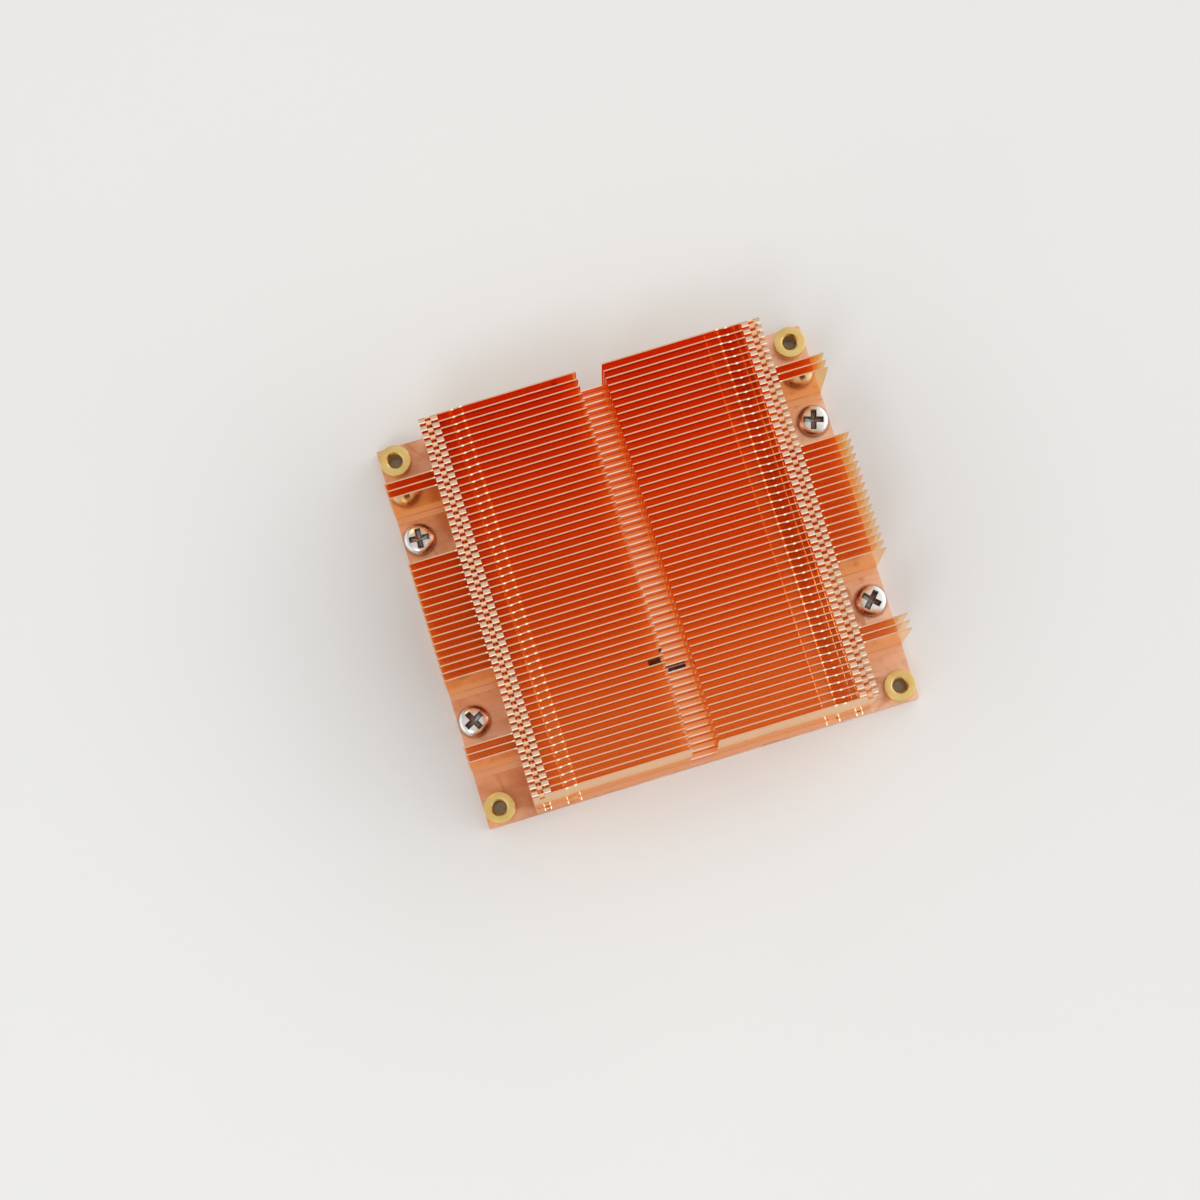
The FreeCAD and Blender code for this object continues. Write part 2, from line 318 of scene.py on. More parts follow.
@dataclass(frozen=True)
class SheetCopper(Finish):
    """Rolled copper sheet: nearly a mirror on the webs, dull at the soldered feet."""

    GLINT = "glint"
    # painted shade: each tongue's points carry how far they have dropped, and the finish colours them a
    # deeper orange
    TONGUE_SHADE = "dull"

    plate_top: float = 2.5 * MM
    fin_top: float = 26.0 * MM
    # painted shade: the webs are paler at the back of the block and darker and redder towards its front
    back_web: Colour = (0.98, 0.60, 0.35, 1)
    front_web: Colour = (0.968, 0.515, 0.28, 1)
    edge: Colour = (0.71, 0.43, 0.29, 1)
    tab: Colour = (0.71, 0.48, 0.35, 1)
    # painted highlight: a pale pink line along the top of each stub in the channel
    stub_edge_highlight: Colour = (0.98, 0.70, 0.60, 1)
    # painted reflection: a deep red that stands in for the red copper the stub faces in the channel
    # mirror
    stub_face_reflection: Colour = (0.97, 0.12, 0.02, 1)
    foot: Colour = (0.975, 0.42, 0.17, 1)
    tarnished: Colour = (0.78, 0.43, 0.28, 1)
    # painted shade: the deeper orange each tongue takes as it drops away from the light
    tongue: Colour = (0.98, 0.36, 0.10, 1)
    shadow: Colour = (0.55, 0.11, 0.03, 1)
    grazing: Colour = (1.0, 0.90, 0.60, 1)
    # painted highlight: pale upright lines on the webs at the crease's two bends
    bend: Colour = (1.0, 0.74, 0.42, 1)
    # painted highlight: the pale colour laid on burrs, the strips' front edges and the foot's solder
    # beads where they carry a glint
    glint_highlight: Colour = (1.0, 0.88, 0.64, 1)
    speck: Colour = (0.20, 0.07, 0.04, 1)
    rolled: Pattern = Pattern(900, 3, (0.05, 1, 1))
    cloudy: Pattern = Pattern(220, 4)
    specks: Pattern = Pattern(380, 1, shown=(0.79, 0.83))
    cloud_range: Span = (0.5, 0.8)
    cloud_share: float = 0.3
    speck_share: float = 0.7
    bend_highlight_share: float = 0.8
    tongue_fade: Span = (0.2, 0.9)
    glint_fade: Span = (0.0, 0.5)
    glint_dulling: Span = (0.5, 1.0)
    web_roughness: float = 0.07
    edge_roughness: float = 0.34
    foot_roughness: float = 0.22
    glint_roughness: float = 0.4
    rolled_roughness: float = 0.04
    cloud_roughness: float = 0.2
    foot_fade: Span = mm(0.3, 1.5)
    edge_fade: Span = mm(0.26, 0.22)
    stub_fade: float = 0.03 * MM
    face_fade: Span = mm(2.8, 3.0)
    shadow_start: Span = mm(0.26, 0.4)
    shadow_end: Span = mm(2.4, 1.6)
    inner_fins: float = 38.3 * MM
    stub_top: float = 6.2 * MM
    channel_half: float = 2.65 * MM
    bends: tuple[float, ...] = mm(26.3, 28.1)
    bend_width: Span = mm(0.05, 0.16)
    tabs: Span = mm(31.2, 35.0)
    depth_of_block: Span = mm(-38.0, 38.0)
    block_end: Span = mm(35.0, 35.5)
    block_front: Span = mm(38.95, 39.1)
    mark_depth: float = 0.002 * MM

    def paint(self, graph: Graph) -> Inputs:
        """Dull the feet, colour the sheared edges, lay long rolling marks and paint in shade, highlights
        and reflections.

        Args:
            graph: The material's graph, on object coordinates.

        Returns:
            The inputs of the Principled shader.
        """
        right, back, height = graph.parts(graph.where)
        across, forward = abs(right), back * -1
        depth = height * -1 + self.fin_top
        above_foot = height.eased(*(self.plate_top + fade for fade in self.foot_fade))
        at_top = height.eased(*(self.fin_top - fade for fade in self.edge_fade))
        in_channel = across < self.channel_half
        open_air = across.eased(*self.block_end).larger(forward.eased(*self.block_front))
        inside = (abs(forward) < self.inner_fins) * (across < self.block_end[0])
        glint, dull = graph.carried(self.GLINT), graph.carried(self.TONGUE_SHADE)
        rolled, cloudy = graph.noise(self.rolled), graph.noise(self.cloudy)
        flat = 1.0
        for place in self.bends:
            flat = abs(across - place).eased(*self.bend_width) * flat
        # painted shade: webs turn darker and redder towards the front of the block
        web = graph.blend(self.back_web, (self.front_web, forward.eased(*self.depth_of_block)))
        colour = graph.blend(
            graph.blend(self.foot, (self.tarnished, open_air)),
            (web, above_foot),
            (graph.blend(self.edge, (self.tab, across.within(*self.tabs))), at_top),
            (self.shadow, depth.eased(*self.shadow_start) * depth.eased(*self.shadow_end) * inside),
            # painted shade on each tongue, growing as it drops
            (self.tongue, dull.eased(*self.tongue_fade)),
            # painted reflection: stub faces in the channel made deep red
            (self.stub_face_reflection, height.eased(*self.face_fade) * in_channel),
            # painted highlight along the stubs' tops
            (self.stub_edge_highlight, (abs(height - self.stub_top) < self.stub_fade) * in_channel),
            (self.foot, cloudy.eased(*self.cloud_range) * self.cloud_share),
            (self.speck, graph.noise(self.specks) * self.speck_share),
            # painted highlight: pale upright lines at the crease's bends
            (self.bend, (1 - flat) * above_foot * self.bend_highlight_share),
            # painted highlight where the mesh carries a glint
            (self.glint_highlight, glint.eased(*self.glint_fade)),
        )
        roughness = above_foot * (self.web_roughness - self.foot_roughness) + self.foot_roughness
        roughness = roughness + at_top * (self.edge_roughness - self.web_roughness)
        roughness = roughness + rolled * self.rolled_roughness + cloudy * at_top * self.cloud_roughness
        return {
            "Base Color": colour,
            "Specular Tint": self.grazing,
            "Roughness": roughness.towards(self.glint_roughness, glint.eased(*self.glint_dulling)),
            "Normal": self.bump(graph, rolled, self.mark_depth),
        }


@dataclass(frozen=True)
class PlateCopper(Finish):
    """Satin copper plate with a fine grain along X, clouds, hairlines and a few dark specks.

    Under the fins the plate kept the bright copper that the solder sealed off from the air, with
    painted shade in the strips under the fins' foot windows.  It is darker round each screw head,
    from dirt and painted shade, and paler towards the right, from painted light.
    """

    clean: Colour = (0.80, 0.40, 0.23, 1)
    warm: Colour = (0.58, 0.21, 0.09, 1)
    # paler patches, and painted light that makes the plate paler towards the right
    pale: Colour = (0.92, 0.60, 0.43, 1)
    sealed: Colour = (0.97, 0.52, 0.30, 1)
    speck: Colour = (0.10, 0.045, 0.03, 1)
    # dirt and painted shade round each screw head, and painted shade under the fins' foot windows
    dirt_and_shade: Colour = (0.34, 0.11, 0.05, 1)
    grain: Pattern = Pattern(2400, 3, (0.04, 1, 1))
    cloudy: Pattern = Pattern(75, 5)
    patchy: Pattern = Pattern(420, 4)
    bright: Pattern = Pattern(150, 4, (0.5, 1, 1), (0.48, 0.70))
    specks: Pattern = Pattern(420, 1, shown=(0.80, 0.84))
    wander: Pattern = Pattern(55, 1)
    hairline: Span = (0.005, 0.010)
    cloud_range: Span = (0.42, 0.68)
    patch_range: Span = (0.50, 0.75)
    grain_range: Span = (0.52, 0.8)
    line_range: Span = (0.45, 0.55)
    cloud_share: float = 0.9
    cloud_light_loss: float = 0.5
    bright_share: float = 0.5
    right_light_share: float = 0.4
    patch_share: float = 0.4
    grain_share: float = 0.35
    line_share: float = 0.7
    speck_share: float = 0.8
    screw_ring_share: float = 0.4
    screw_ring_patches: float = 0.6
    smooth: float = 0.26
    rough: float = 0.42
    patch_roughness: float = 0.10
    sealed_roughness: float = 0.22
    sealed_end: Span = mm(35.2, 34.9)
    top_layer: float = 2.4 * MM
    block_end: float = 39.3 * MM
    window: Span = mm(31.9, 33.3)
    # painted shade: how much darker the plate is made under the fins' foot windows
    window_shade: float = 0.4
    # painted light: the plate turns paler from X = -30 mm to X = 45 mm
    lit_towards_right: Span = mm(-30.0, 45.0)
    seats: tuple[Span, ...] = ()
    seat_ring: Span = mm(3.75, 3.1)
    grain_depth: float = 0.008 * MM

    def paint(self, graph: Graph) -> Inputs:
        """Lay the grain, the clouds, the hairlines, the specks, the painted light towards the right,
        the painted shade under the windows and the dark rings of dirt and painted shade.

        Args:
            graph: The material's graph, on object coordinates.

        Returns:
            The inputs of the Principled shader.
        """
        right, back, height = graph.parts(graph.where)
        on_top = (height > self.top_layer) * (abs(back) < self.block_end)
        sealed = abs(right).eased(*self.sealed_end) * on_top
        lit_towards_right = right.eased(*self.lit_towards_right)
        kinds = (self.grain, self.cloudy, self.patchy, self.bright, self.specks, self.wander)
        grain, cloudy, patchy, bright, specks, wander = (graph.noise(kind) for kind in kinds)
        # painted light: fewer warm clouds towards the right
        clouds = self.cloud_share - lit_towards_right * self.cloud_light_loss
        lines = (1 - abs(wander - 0.5).eased(*self.hairline)) * cloudy.eased(*self.line_range)
        colour = graph.blend(
            self.clean,
            (self.warm, cloudy.eased(*self.cloud_range) * clouds),
            # paler patches, and painted light towards the right
            (self.pale, bright * self.bright_share + lit_towards_right * self.right_light_share),
            (self.warm, patchy.eased(*self.patch_range) * self.patch_share),
            (self.warm, grain.eased(*self.grain_range) * self.grain_share),
            (self.warm, lines * self.line_share),
            (self.speck, specks * self.speck_share),
        )
        # dirt and painted shade: a patchy dark ring round each screw head
        for seat_x, seat_y in self.seats:
            aside, behind = right - seat_x, back - seat_y
            ring = (aside * aside + behind * behind).root().eased(*self.seat_ring)
            dirt_and_shade_ring = ring * (patchy * self.screw_ring_patches + self.screw_ring_share)
            colour = graph.blend(colour, (self.dirt_and_shade, dirt_and_shade_ring))
        # painted shade: darker strips of plate under the fins' foot windows
        in_window = abs(right).within(*self.window) * self.window_shade
        roughness = grain * (self.rough - self.smooth) + self.smooth + patchy * self.patch_roughness
        return {
            "Base Color": graph.blend(
                colour, (graph.blend(self.sealed, (self.dirt_and_shade, in_window)), sealed)
            ),
            "Roughness": roughness.towards(self.sealed_roughness, sealed),
            "Normal": self.bump(graph, grain * (1 - sealed), self.grain_depth),
        }


@dataclass(frozen=True)
class TurnedBrass(Finish):
    """Turned brass; the rings follow the distance from the axis that the mesh carries."""

    clean: Colour = (0.75, 0.54, 0.205, 1)
    dull: Colour = (0.64, 0.42, 0.13, 1)
    jitter: Pattern = Pattern(500)
    cloudy: Pattern = Pattern(260, 3, shown=(0.4, 0.7))
    jitter_turn: float = 2.0
    cloud_share: float = 0.55
    ring_share: float = 0.12
    smooth: float = 0.22
    ring_roughness: float = 0.07
    cloud_roughness: float = 0.10
    ring_pitch: float = 0.16 * MM
    ring_depth: float = 0.006 * MM

    def paint(self, graph: Graph) -> Inputs:
        """Cut fine rings and tarnish the brass a little.

        Args:
            graph: The material's graph, on object coordinates.

        Returns:
            The inputs of the Principled shader.
        """
        turns = graph.carried(TURN_RADIUS) * (math.tau / self.ring_pitch)
        rings = (turns + graph.noise(self.jitter) * self.jitter_turn).sine() * 0.5 + 0.5
        cloudy = graph.noise(self.cloudy)
        dulled = cloudy * self.cloud_share + rings * self.ring_share
        return {
            "Base Color": graph.blend(self.clean, (self.dull, dulled)),
            "Roughness": rings * self.ring_roughness + cloudy * self.cloud_roughness + self.smooth,
            "Normal": self.bump(graph, rings, self.ring_depth),
        }


@dataclass(frozen=True)
class NickelSteel(Finish):
    """Nickel-plated steel with faint handling marks and painted shade where it is sunk."""

    # painted shade: how deep each point lies in the cross recess
    SUNK = "sunk"

    clean: Colour = (0.76, 0.74, 0.72, 1)
    dull: Colour = (0.50, 0.47, 0.45, 1)
    recess_shade: Colour = (0.05, 0.034, 0.025, 1)
    mottled: Pattern = Pattern(700, 4)
    fine: Pattern = Pattern(5200)
    dull_range: Span = (0.45, 0.75)
    dull_share: float = 0.6
    recess_shade_share: float = 0.75
    recess_shade_mottle: float = 0.3
    smooth: float = 0.2
    mottle_roughness: float = 0.16
    recess_roughness: float = 0.2
    grain_depth: float = 0.003 * MM

    def paint(self, graph: Graph) -> Inputs:
        """Lay a soft mottle over the plating and painted shade in the recess.

        Args:
            graph: The material's graph, on object coordinates.

        Returns:
            The inputs of the Principled shader.
        """
        mottle = graph.noise(self.mottled)
        sunk = graph.carried(self.SUNK)
        colour = graph.blend(
            self.clean,
            (self.dull, mottle.eased(*self.dull_range) * self.dull_share),
            # painted shade in the recess, a little mottled
            (self.recess_shade, sunk * (mottle * self.recess_shade_mottle + self.recess_shade_share)),
        )
        return {
            "Base Color": colour,
            "Roughness": mottle * self.mottle_roughness + self.smooth + sunk * self.recess_roughness,
            "Normal": self.bump(graph, graph.noise(self.fine), self.grain_depth),
        }


@dataclass(frozen=True)
class SolderTin(Finish):
    """Bright solder that has run and set."""

    clean: Colour = (0.86, 0.84, 0.80, 1)
    grey: Colour = (0.56, 0.52, 0.48, 1)
    frosty: Pattern = Pattern(2400, 4)
    grey_range: Span = (0.4, 0.7)
    smooth: float = 0.18
    frost_roughness: float = 0.25
    grain_depth: float = 0.008 * MM

    def paint(self, graph: Graph) -> Inputs:
        """Lay a frosty grain.

        Args:
            graph: The material's graph, on object coordinates.

        Returns:
            The inputs of the Principled shader.
        """
        frost = graph.noise(self.frosty)
        return {
            "Base Color": graph.blend(self.clean, (self.grey, frost.eased(*self.grey_range))),
            "Roughness": frost * self.frost_roughness + self.smooth,
            "Normal": self.bump(graph, frost, self.grain_depth),
        }


@dataclass(frozen=True)
class PaleFloor(Finish):
    """Matt pale studio floor."""

    METALLIC = 0.0

    light: Colour = (0.80, 0.80, 0.79, 1)
    dark: Colour = (0.76, 0.76, 0.755, 1)
    mottled: Pattern = Pattern(6, 3)
    roughness: float = 0.9
    gloss: float = 0.2

    def paint(self, graph: Graph) -> Inputs:
        """Lay a very faint mottle over the floor, and return the shader's inputs."""
        colour = graph.blend(self.light, (self.dark, graph.noise(self.mottled)))
        return {"Base Color": colour, "Roughness": self.roughness, "Specular IOR Level": self.gloss}


# ---- meshes


def new_object(name: str, data: bpy.types.ID) -> Thing:
    """Put an object in the scene.

    Args:
        name: The object's name.
        data: Its mesh, lamp or camera.

    Returns:
        The new object, at the origin.
    """
    thing = bpy.data.objects.new(name, data)
    bpy.context.scene.collection.objects.link(thing)
    return thing


def object_from_bmesh(name: str, bm: bmesh.types.BMesh) -> Thing:
    """Turn an edited mesh into an object and free it.

    Args:
        name: The object's name.
        bm: The edited mesh.

    Returns:
        The new object.
    """
    mesh = bpy.data.meshes.new(name)
    bm.to_mesh(mesh)
    bm.free()
    return new_object(name, mesh)


def bake_modifiers(thing: Thing) -> None:
    """Replace an object's mesh by its evaluated one and remove its modifiers.

    Args:
        thing: The object.
    """
    graph = bpy.context.evaluated_depsgraph_get()
    mesh = bpy.data.meshes.new_from_object(
        thing.evaluated_get(graph), preserve_all_data_layers=True, depsgraph=graph
    )
    thing.modifiers.clear()
    thing.data = mesh


def shade(thing: Thing) -> None:
    """Shade an object smooth but for its real edges."""
    thing.data.shade_smooth()
    thing.data.set_sharp_from_angle(angle=SHARP_EDGE)


def discard(*things: Thing) -> None:
    """Delete objects that were only made to be copied."""
    for thing in things:
        bpy.data.objects.remove(thing, do_unlink=True)


def loft(bm: bmesh.types.BMesh, rings: Sequence[Loop]) -> None:
    """Join rings of points one after another into a skin.

    Args:
        bm: The mesh of the points.
        rings: The rings in order, any of which may be a single point.
    """
    for low, high in zip(rings, rings[1:]):
        count = max(len(low), len(high))
        for step in range(count):
            after = (step + 1) % count
            corners = [low[step % len(low)], low[after % len(low)],
                       high[after % len(high)], high[step % len(high)]]
            bm.faces.new(list(dict.fromkeys(corners)))


def turned(name: str, profile: Sequence[Span], closed: bool) -> Thing:
    """Turn a profile round the Z axis; the mesh carries each point's distance from it.

    Args:
        name: The object's name.
        profile: Radius and height of each point.
        closed: Whether the last point is joined to the first.

    Returns:
        The turned object.
    """
    bm = bmesh.new()
    rings = []
    for radius, height in profile:
        steps = TURN_STEPS if radius else 1
        angles = (math.tau * step / steps for step in range(steps))
        rings.append([bm.verts.new((radius * math.cos(a), radius * math.sin(a), height)) for a in angles])
    loft(bm, rings + rings[:1] if closed else rings)
    bmesh.ops.recalc_face_normals(bm, faces=bm.faces)
    layer = bm.verts.layers.float.new(TURN_RADIUS)
    for vert in bm.verts:
        vert[layer] = math.hypot(vert.co.x, vert.co.y)
    return object_from_bmesh(name, bm)


# ---- geometry node trees


class CopyTree:
    """Geometry nodes with named inputs, run on one object and then made plain."""

    def __init__(self, name: str, inputs: dict[str, Sequence[str]]) -> None:
        """Start a tree.

        Args:
            name: The tree's name.
            inputs: Labels of its inputs, beside the finish, for each type of socket.
        """
        self.tree = bpy.data.node_groups.new(name, "GeometryNodeTree")
        self.graph = Graph(self.tree)
        ports = self.tree.interface
        for way in ("INPUT", "OUTPUT"):
            ports.new_socket("Geometry", in_out=way, socket_type="NodeSocketGeometry")
        for kind, labels in {**inputs, "Material": ["Finish"]}.items():
            for label in labels:
                ports.new_socket(label, in_out="INPUT", socket_type=f"NodeSocket{kind}")
        self.given = self.graph.add("NodeGroupInput")

    def number(self, label: str) -> Value:
        """Return a numeric input of the tree."""
        return self.graph.number(self.given, label)

    def item(self, label: str) -> Socket:
        """Return the geometry of an object input."""
        inputs = {"Object": self.given.outputs[label], "As Instance": True}
        return self.graph.add("GeometryNodeObjectInfo", inputs=inputs).outputs["Geometry"]

    def close(self, geometry: Socket) -> None:
        """Give the result its finish and end the tree.

        Args:
            geometry: Geometry whose instances are already realized.
        """
        inputs = {"Geometry": geometry, "Material": self.given.outputs["Finish"]}
        finished = self.graph.add("GeometryNodeSetMaterial", {}, inputs)
        self.graph.add("NodeGroupOutput", {}, {"Geometry": finished.outputs[0]})

    def run(self, thing: Thing, values: Inputs) -> None:
        """Run the tree on an object and keep the plain mesh.

        Args:
            thing: The object that is given the tree.
            values: The tree's inputs by name.
        """
        modifier = thing.modifiers.new(self.tree.name, "NODES")
        modifier.node_group = self.tree
        ports = {port.name: port.identifier for port in self.tree.interface.items_tree
                 if port.in_out == "INPUT"}
        for label, value in values.items():
            modifier[ports[label]] = value
        bake_modifiers(thing)


@dataclass(frozen=True)
class Place:
    """Where a copy stands and how far it is turned about Z, in radians."""

    TURN = "turn"

    x: float
    y: float
    z: float
    turn: float = 0.0


def copy_to(name: str, places: Sequence[Place], item: Thing, finish: bpy.types.Material) -> Thing:
    """Set a copy of an item on every place, turned by the place's angle.

    Args:
        name: The result's name.
        places: The places.
        item: The item, which is deleted afterwards.
        finish: The copies' finish.

    Returns:
        All the copies as one plain mesh.
    """
    mesh = bpy.data.meshes.new(name)
    mesh.from_pydata([(place.x, place.y, place.z) for place in places], [], [])
    turns = mesh.attributes.new(Place.TURN, "FLOAT", "POINT")
    for entry, place in zip(turns.data, places):
        entry.value = place.turn
    tree = CopyTree("copies on points", {"Object": ["Item"]})
    graph = tree.graph
    turn = graph.add("GeometryNodeInputNamedAttribute", {"data_type": "FLOAT"}, {"Name": Place.TURN})
    placed = graph.add("GeometryNodeInstanceOnPoints", {}, {
        "Points": tree.given.outputs["Geometry"],
        "Instance": tree.item("Item"),
        "Rotation": graph.vector(Z=turn.outputs[0]),
    })
    real = graph.add("GeometryNodeRealizeInstances", {}, {"Geometry": placed.outputs[0]})
    tree.close(real.outputs[0])
    copies = new_object(name, mesh)
    tree.run(copies, {"Item": item, "Finish": finish})
    discard(item)
    return copies


# ---- fins


class Band(Enum):
    """Stretches of a fin's sheet from the front of its foot to the tip of its tongue."""

    FOOT = "flat foot"
    FOOT_FOLD = "fold at the foot"
    STUB = "web under the channel"
    WEB = "web beside the channel"
    NOTCH = "web beside the notch"
    CUT_EDGE = "straight top edge"
    TOP_FOLD = "fold at the top"
    TAB = "flat tab"
    STRIP = "strip in front of the window"
    HEM = "bright front edge of the strip"
    TONGUE = "tongue"


@dataclass
class FoldedFin:
    """One fin: a stamped sheet folded forwards at its foot and at its zipped tabs."""

    name: str
    half_length: float
    height: float
    foot_reach: float
    zipped: bool = True
    lean: float = 0.0
    slot: Span | None = None
    block_half: float = 35.0 * MM
    pitch: float = 1.5 * MM
    sheet: float = 0.25 * MM
    foot_fold: float = 0.17 * MM
    tab_fold: float = 0.28 * MM
    fold_steps: int = 3
    tab_reach: float = 0.99 * MM
    channel_half: float = 2.65 * MM
    stub_height: float = 3.7 * MM
    crease: Span = mm(26.3, 28.1)
    crease_depth: float = 0.12 * MM
    crease_round: float = 0.15 * MM
    foot_gap: Span = mm(25.7, 28.4)
    foot_window: Span = mm(32.0, 33.2)
    tab_start: float = 31.2 * MM
    window: Span = mm(32.6, 33.75)
    strip_width: float = 0.2 * MM
    tongue_side_gap: float = 0.06 * MM
    tongue_reach: float = 0.27 * MM
    tongue_bend: Span = mm(0.4, 0.12)
    tongue_drop: float = 0.5 * MM
    tongue_under_gap: float = 0.1 * MM
    hem: float = 0.05 * MM
    bright_hem: float = 0.11 * MM
    hem_drop: float = 0.03 * MM
    web_step: float = 4.0 * MM
    web_rows: int = 4
    edge_drop: float = 0.1 * MM
    wing_burr: float = 35.3 * MM
    burr_size: Vector = field(default_factory=lambda: Vector((0.36, 0.23, 0.12)) * MM)
    burr_rise: float = 0.07 * MM
    burr_rounds: int = 2
    wing_burr_scale: float = 0.7
    channel_burr_scale: float = 0.6
    seam_radius: float = 0.2 * MM
    seam_rounds: int = 1
    seam_glint: float = 0.5

    def build(self) -> Thing:
        """Fold the sheet.

        Returns:
            The fin about its own mid-plane, with its foot on Z = 0.
        """
        bm = bmesh.new()
        glint = bm.verts.layers.float.new(SheetCopper.GLINT)
        dull = bm.verts.layers.float.new(SheetCopper.TONGUE_SHADE)
        verts: dict[tuple[float, Span], bmesh.types.BMVert] = {}
        columns = self._columns()
        for left, right in zip(columns, columns[1:]):
            middle = (left + right) / 2
            beside = not self.window[0] < abs(middle) < self.window[1]
            for band, line in self._bands().items():
                if not self._holds(middle, band):
                    continue
                for low, high in zip(line, line[1:]):
                    corners = [(left, low), (right, low), (right, high), (left, high)]
                    for corner in corners:
                        if corner not in verts:
                            vert = verts[corner] = bm.verts.new(self._point(*corner))
                            # painted highlight: the strip's front edge beside the window is marked to
                            # take the pale glint colour
                            vert[glint] = band is Band.HEM and beside
                            # painted shade: each tongue's points carry how far they have dropped below
                            # the top
                            if band is Band.TONGUE:
                                vert[dull] = (self.height - corner[1][1]) / self.tongue_drop
                    bm.faces.new([verts[corner] for corner in corners])
        fin = object_from_bmesh(self.name, bm)
        shell = fin.modifiers.new("sheet", "SOLIDIFY")
        shell.thickness = self.sheet
        shell.offset = 0.0
        shell.use_even_offset = True
        bake_modifiers(fin)
        self._add_burrs(fin)
        shade(fin)
        return fin

    def _point(self, x: float, line: Span) -> Vector:
        """Place a point of the sheet, with the shallow crease and the fin's lean worked in."""
        return Vector((x, line[0] + self._behind(x) + self.lean * line[1] / self.height, line[1]))

    def _behind(self, x: float) -> float:
        """Tell how far the creased sheet stands behind its mid-plane at x."""
        start, end = self.crease
        return self.crease_depth * min(1.0, max(0.0, (end - abs(x)) / (end - start)))

    def _add_burrs(self, fin: Thing) -> None:
        """Leave burrs at the crease and the channel, and solder on the foot's cut ends, all with a
        painted highlight.

        Args:
            fin: The fin, already a solid sheet.
        """
        crests = self.height - self.edge_drop + self.burr_rise
        spots = [(side * place, crests, 1.0) for place in self.crease for side in (-1, 1)]
        if self.half_length > self.wing_burr:
            spots += [(side * self.wing_burr, crests, self.wing_burr_scale) for side in (-1, 1)]
        spots.append((-self.channel_half, self.stub_height + self.burr_rise, self.channel_burr_scale))
        blobs = []
        for x, top, scale in spots:
            half = self.burr_size * scale
            middle = Vector((x, self.lean * top / self.height + self._behind(x), top - half.z))
            blobs.append((middle, half, 1.0, self.burr_rounds))
        seam = Vector((self.seam_radius, self.foot_reach / 2, self.seam_radius))
        for x in (*self.foot_gap, *self.foot_window):
            blobs += [(Vector((side * x, -seam.y, seam.z)), seam, self.seam_glint, self.seam_rounds)
                      for side in (-1, 1)]
        bm = bmesh.new()
        bm.from_mesh(fin.data)
        glint = bm.verts.layers.float[SheetCopper.GLINT]
        for middle, half, shine, rounds in blobs:
            for vert in bmesh.ops.create_icosphere(bm, subdivisions=rounds, radius=1.0)["verts"]:
                vert.co = middle + vert.co * half
                # painted highlight: every burr and solder bead carries a glint share for the pale colour
                vert[glint] = shine
        bm.to_mesh(fin.data)
        bm.free()

    def _columns(self) -> list[float]:
        """List the sheet's upright lines.

        Returns:
            Their places from left to right.
        """
        half = {0.0, self.channel_half, self.tab_start, self.block_half, self.half_length}
        half |= {*self.foot_gap, *self.foot_window, *self.window, *self.crease}
        half |= {self.window[0] + self.tongue_side_gap, self.window[1] - self.tongue_side_gap}
        half |= {self.crease[0] - self.crease_round, self.crease[1] + self.crease_round}
        fill = self.channel_half + self.web_step
        while fill < self.foot_gap[0] - self.web_step / 2:
            half.add(fill)
            fill += self.web_step
        if self.half_length > self.wing_burr:
            half.add((self.block_half + self.half_length) / 2)
        return sorted({-x for x in half} | half | set(self.slot or ()))

    def _bands(self) -> dict[Band, list[Span]]:
        """Work out the sheet's section.

        Returns:
            The points of each band, as pairs of Y and Z.
        """
        middle = self.sheet / 2
        top = self.height - middle
        notch = top - middle - self.tongue_drop - self.tongue_under_gap
        low_fold = self._fold(middle + self.foot_fold, self.foot_fold, -90, 0)
        high_fold = self._fold(top - self.tab_fold, self.tab_fold, 0, 90)
        strip_back = (self.strip_width - self.tab_reach, top)
        hem_back = (self.bright_hem - self.tab_reach, top)
        front = (-self.tab_reach, top - self.hem_drop)
        bend = (-self.tab_reach - self.tongue_bend[0], top - self.tongue_bend[1])
        web = [(0.0, self.stub_height + (notch - self.stub_height) * row / self.web_rows)
               for row in range(self.web_rows + 1)]
        return {
            Band.HEM: [hem_back, front],
            Band.FOOT: [(-self.foot_reach, middle), (low_fold[0][0] - self.hem, middle), low_fold[0]],
            Band.FOOT_FOLD: low_fold,
            Band.STUB: [low_fold[-1], (0.0, low_fold[-1][1] + self.hem), web[0]],
            Band.WEB: web,
            Band.NOTCH: [web[-1], (0.0, high_fold[0][1] - self.hem), high_fold[0]],
            Band.CUT_EDGE: [high_fold[0], (0.0, self.height - self.edge_drop)],
            Band.TOP_FOLD: high_fold,
            Band.TAB: [high_fold[-1], (high_fold[-1][0] - self.hem, top), strip_back],
            Band.STRIP: [strip_back, hem_back],
            Band.TONGUE: [front, bend, (-self.pitch - self.tongue_reach, top - self.tongue_drop)],
        }

    def _fold(self, height: float, radius: float, start: float, end: float) -> list[Span]:
        """Bend the sheet round a centre in front of it, from one angle to another."""
        turns = [math.radians(start + (end - start) * step / self.fold_steps)
                 for step in range(self.fold_steps + 1)]
        return [(radius * (math.cos(turn) - 1), height + radius * math.sin(turn)) for turn in turns]

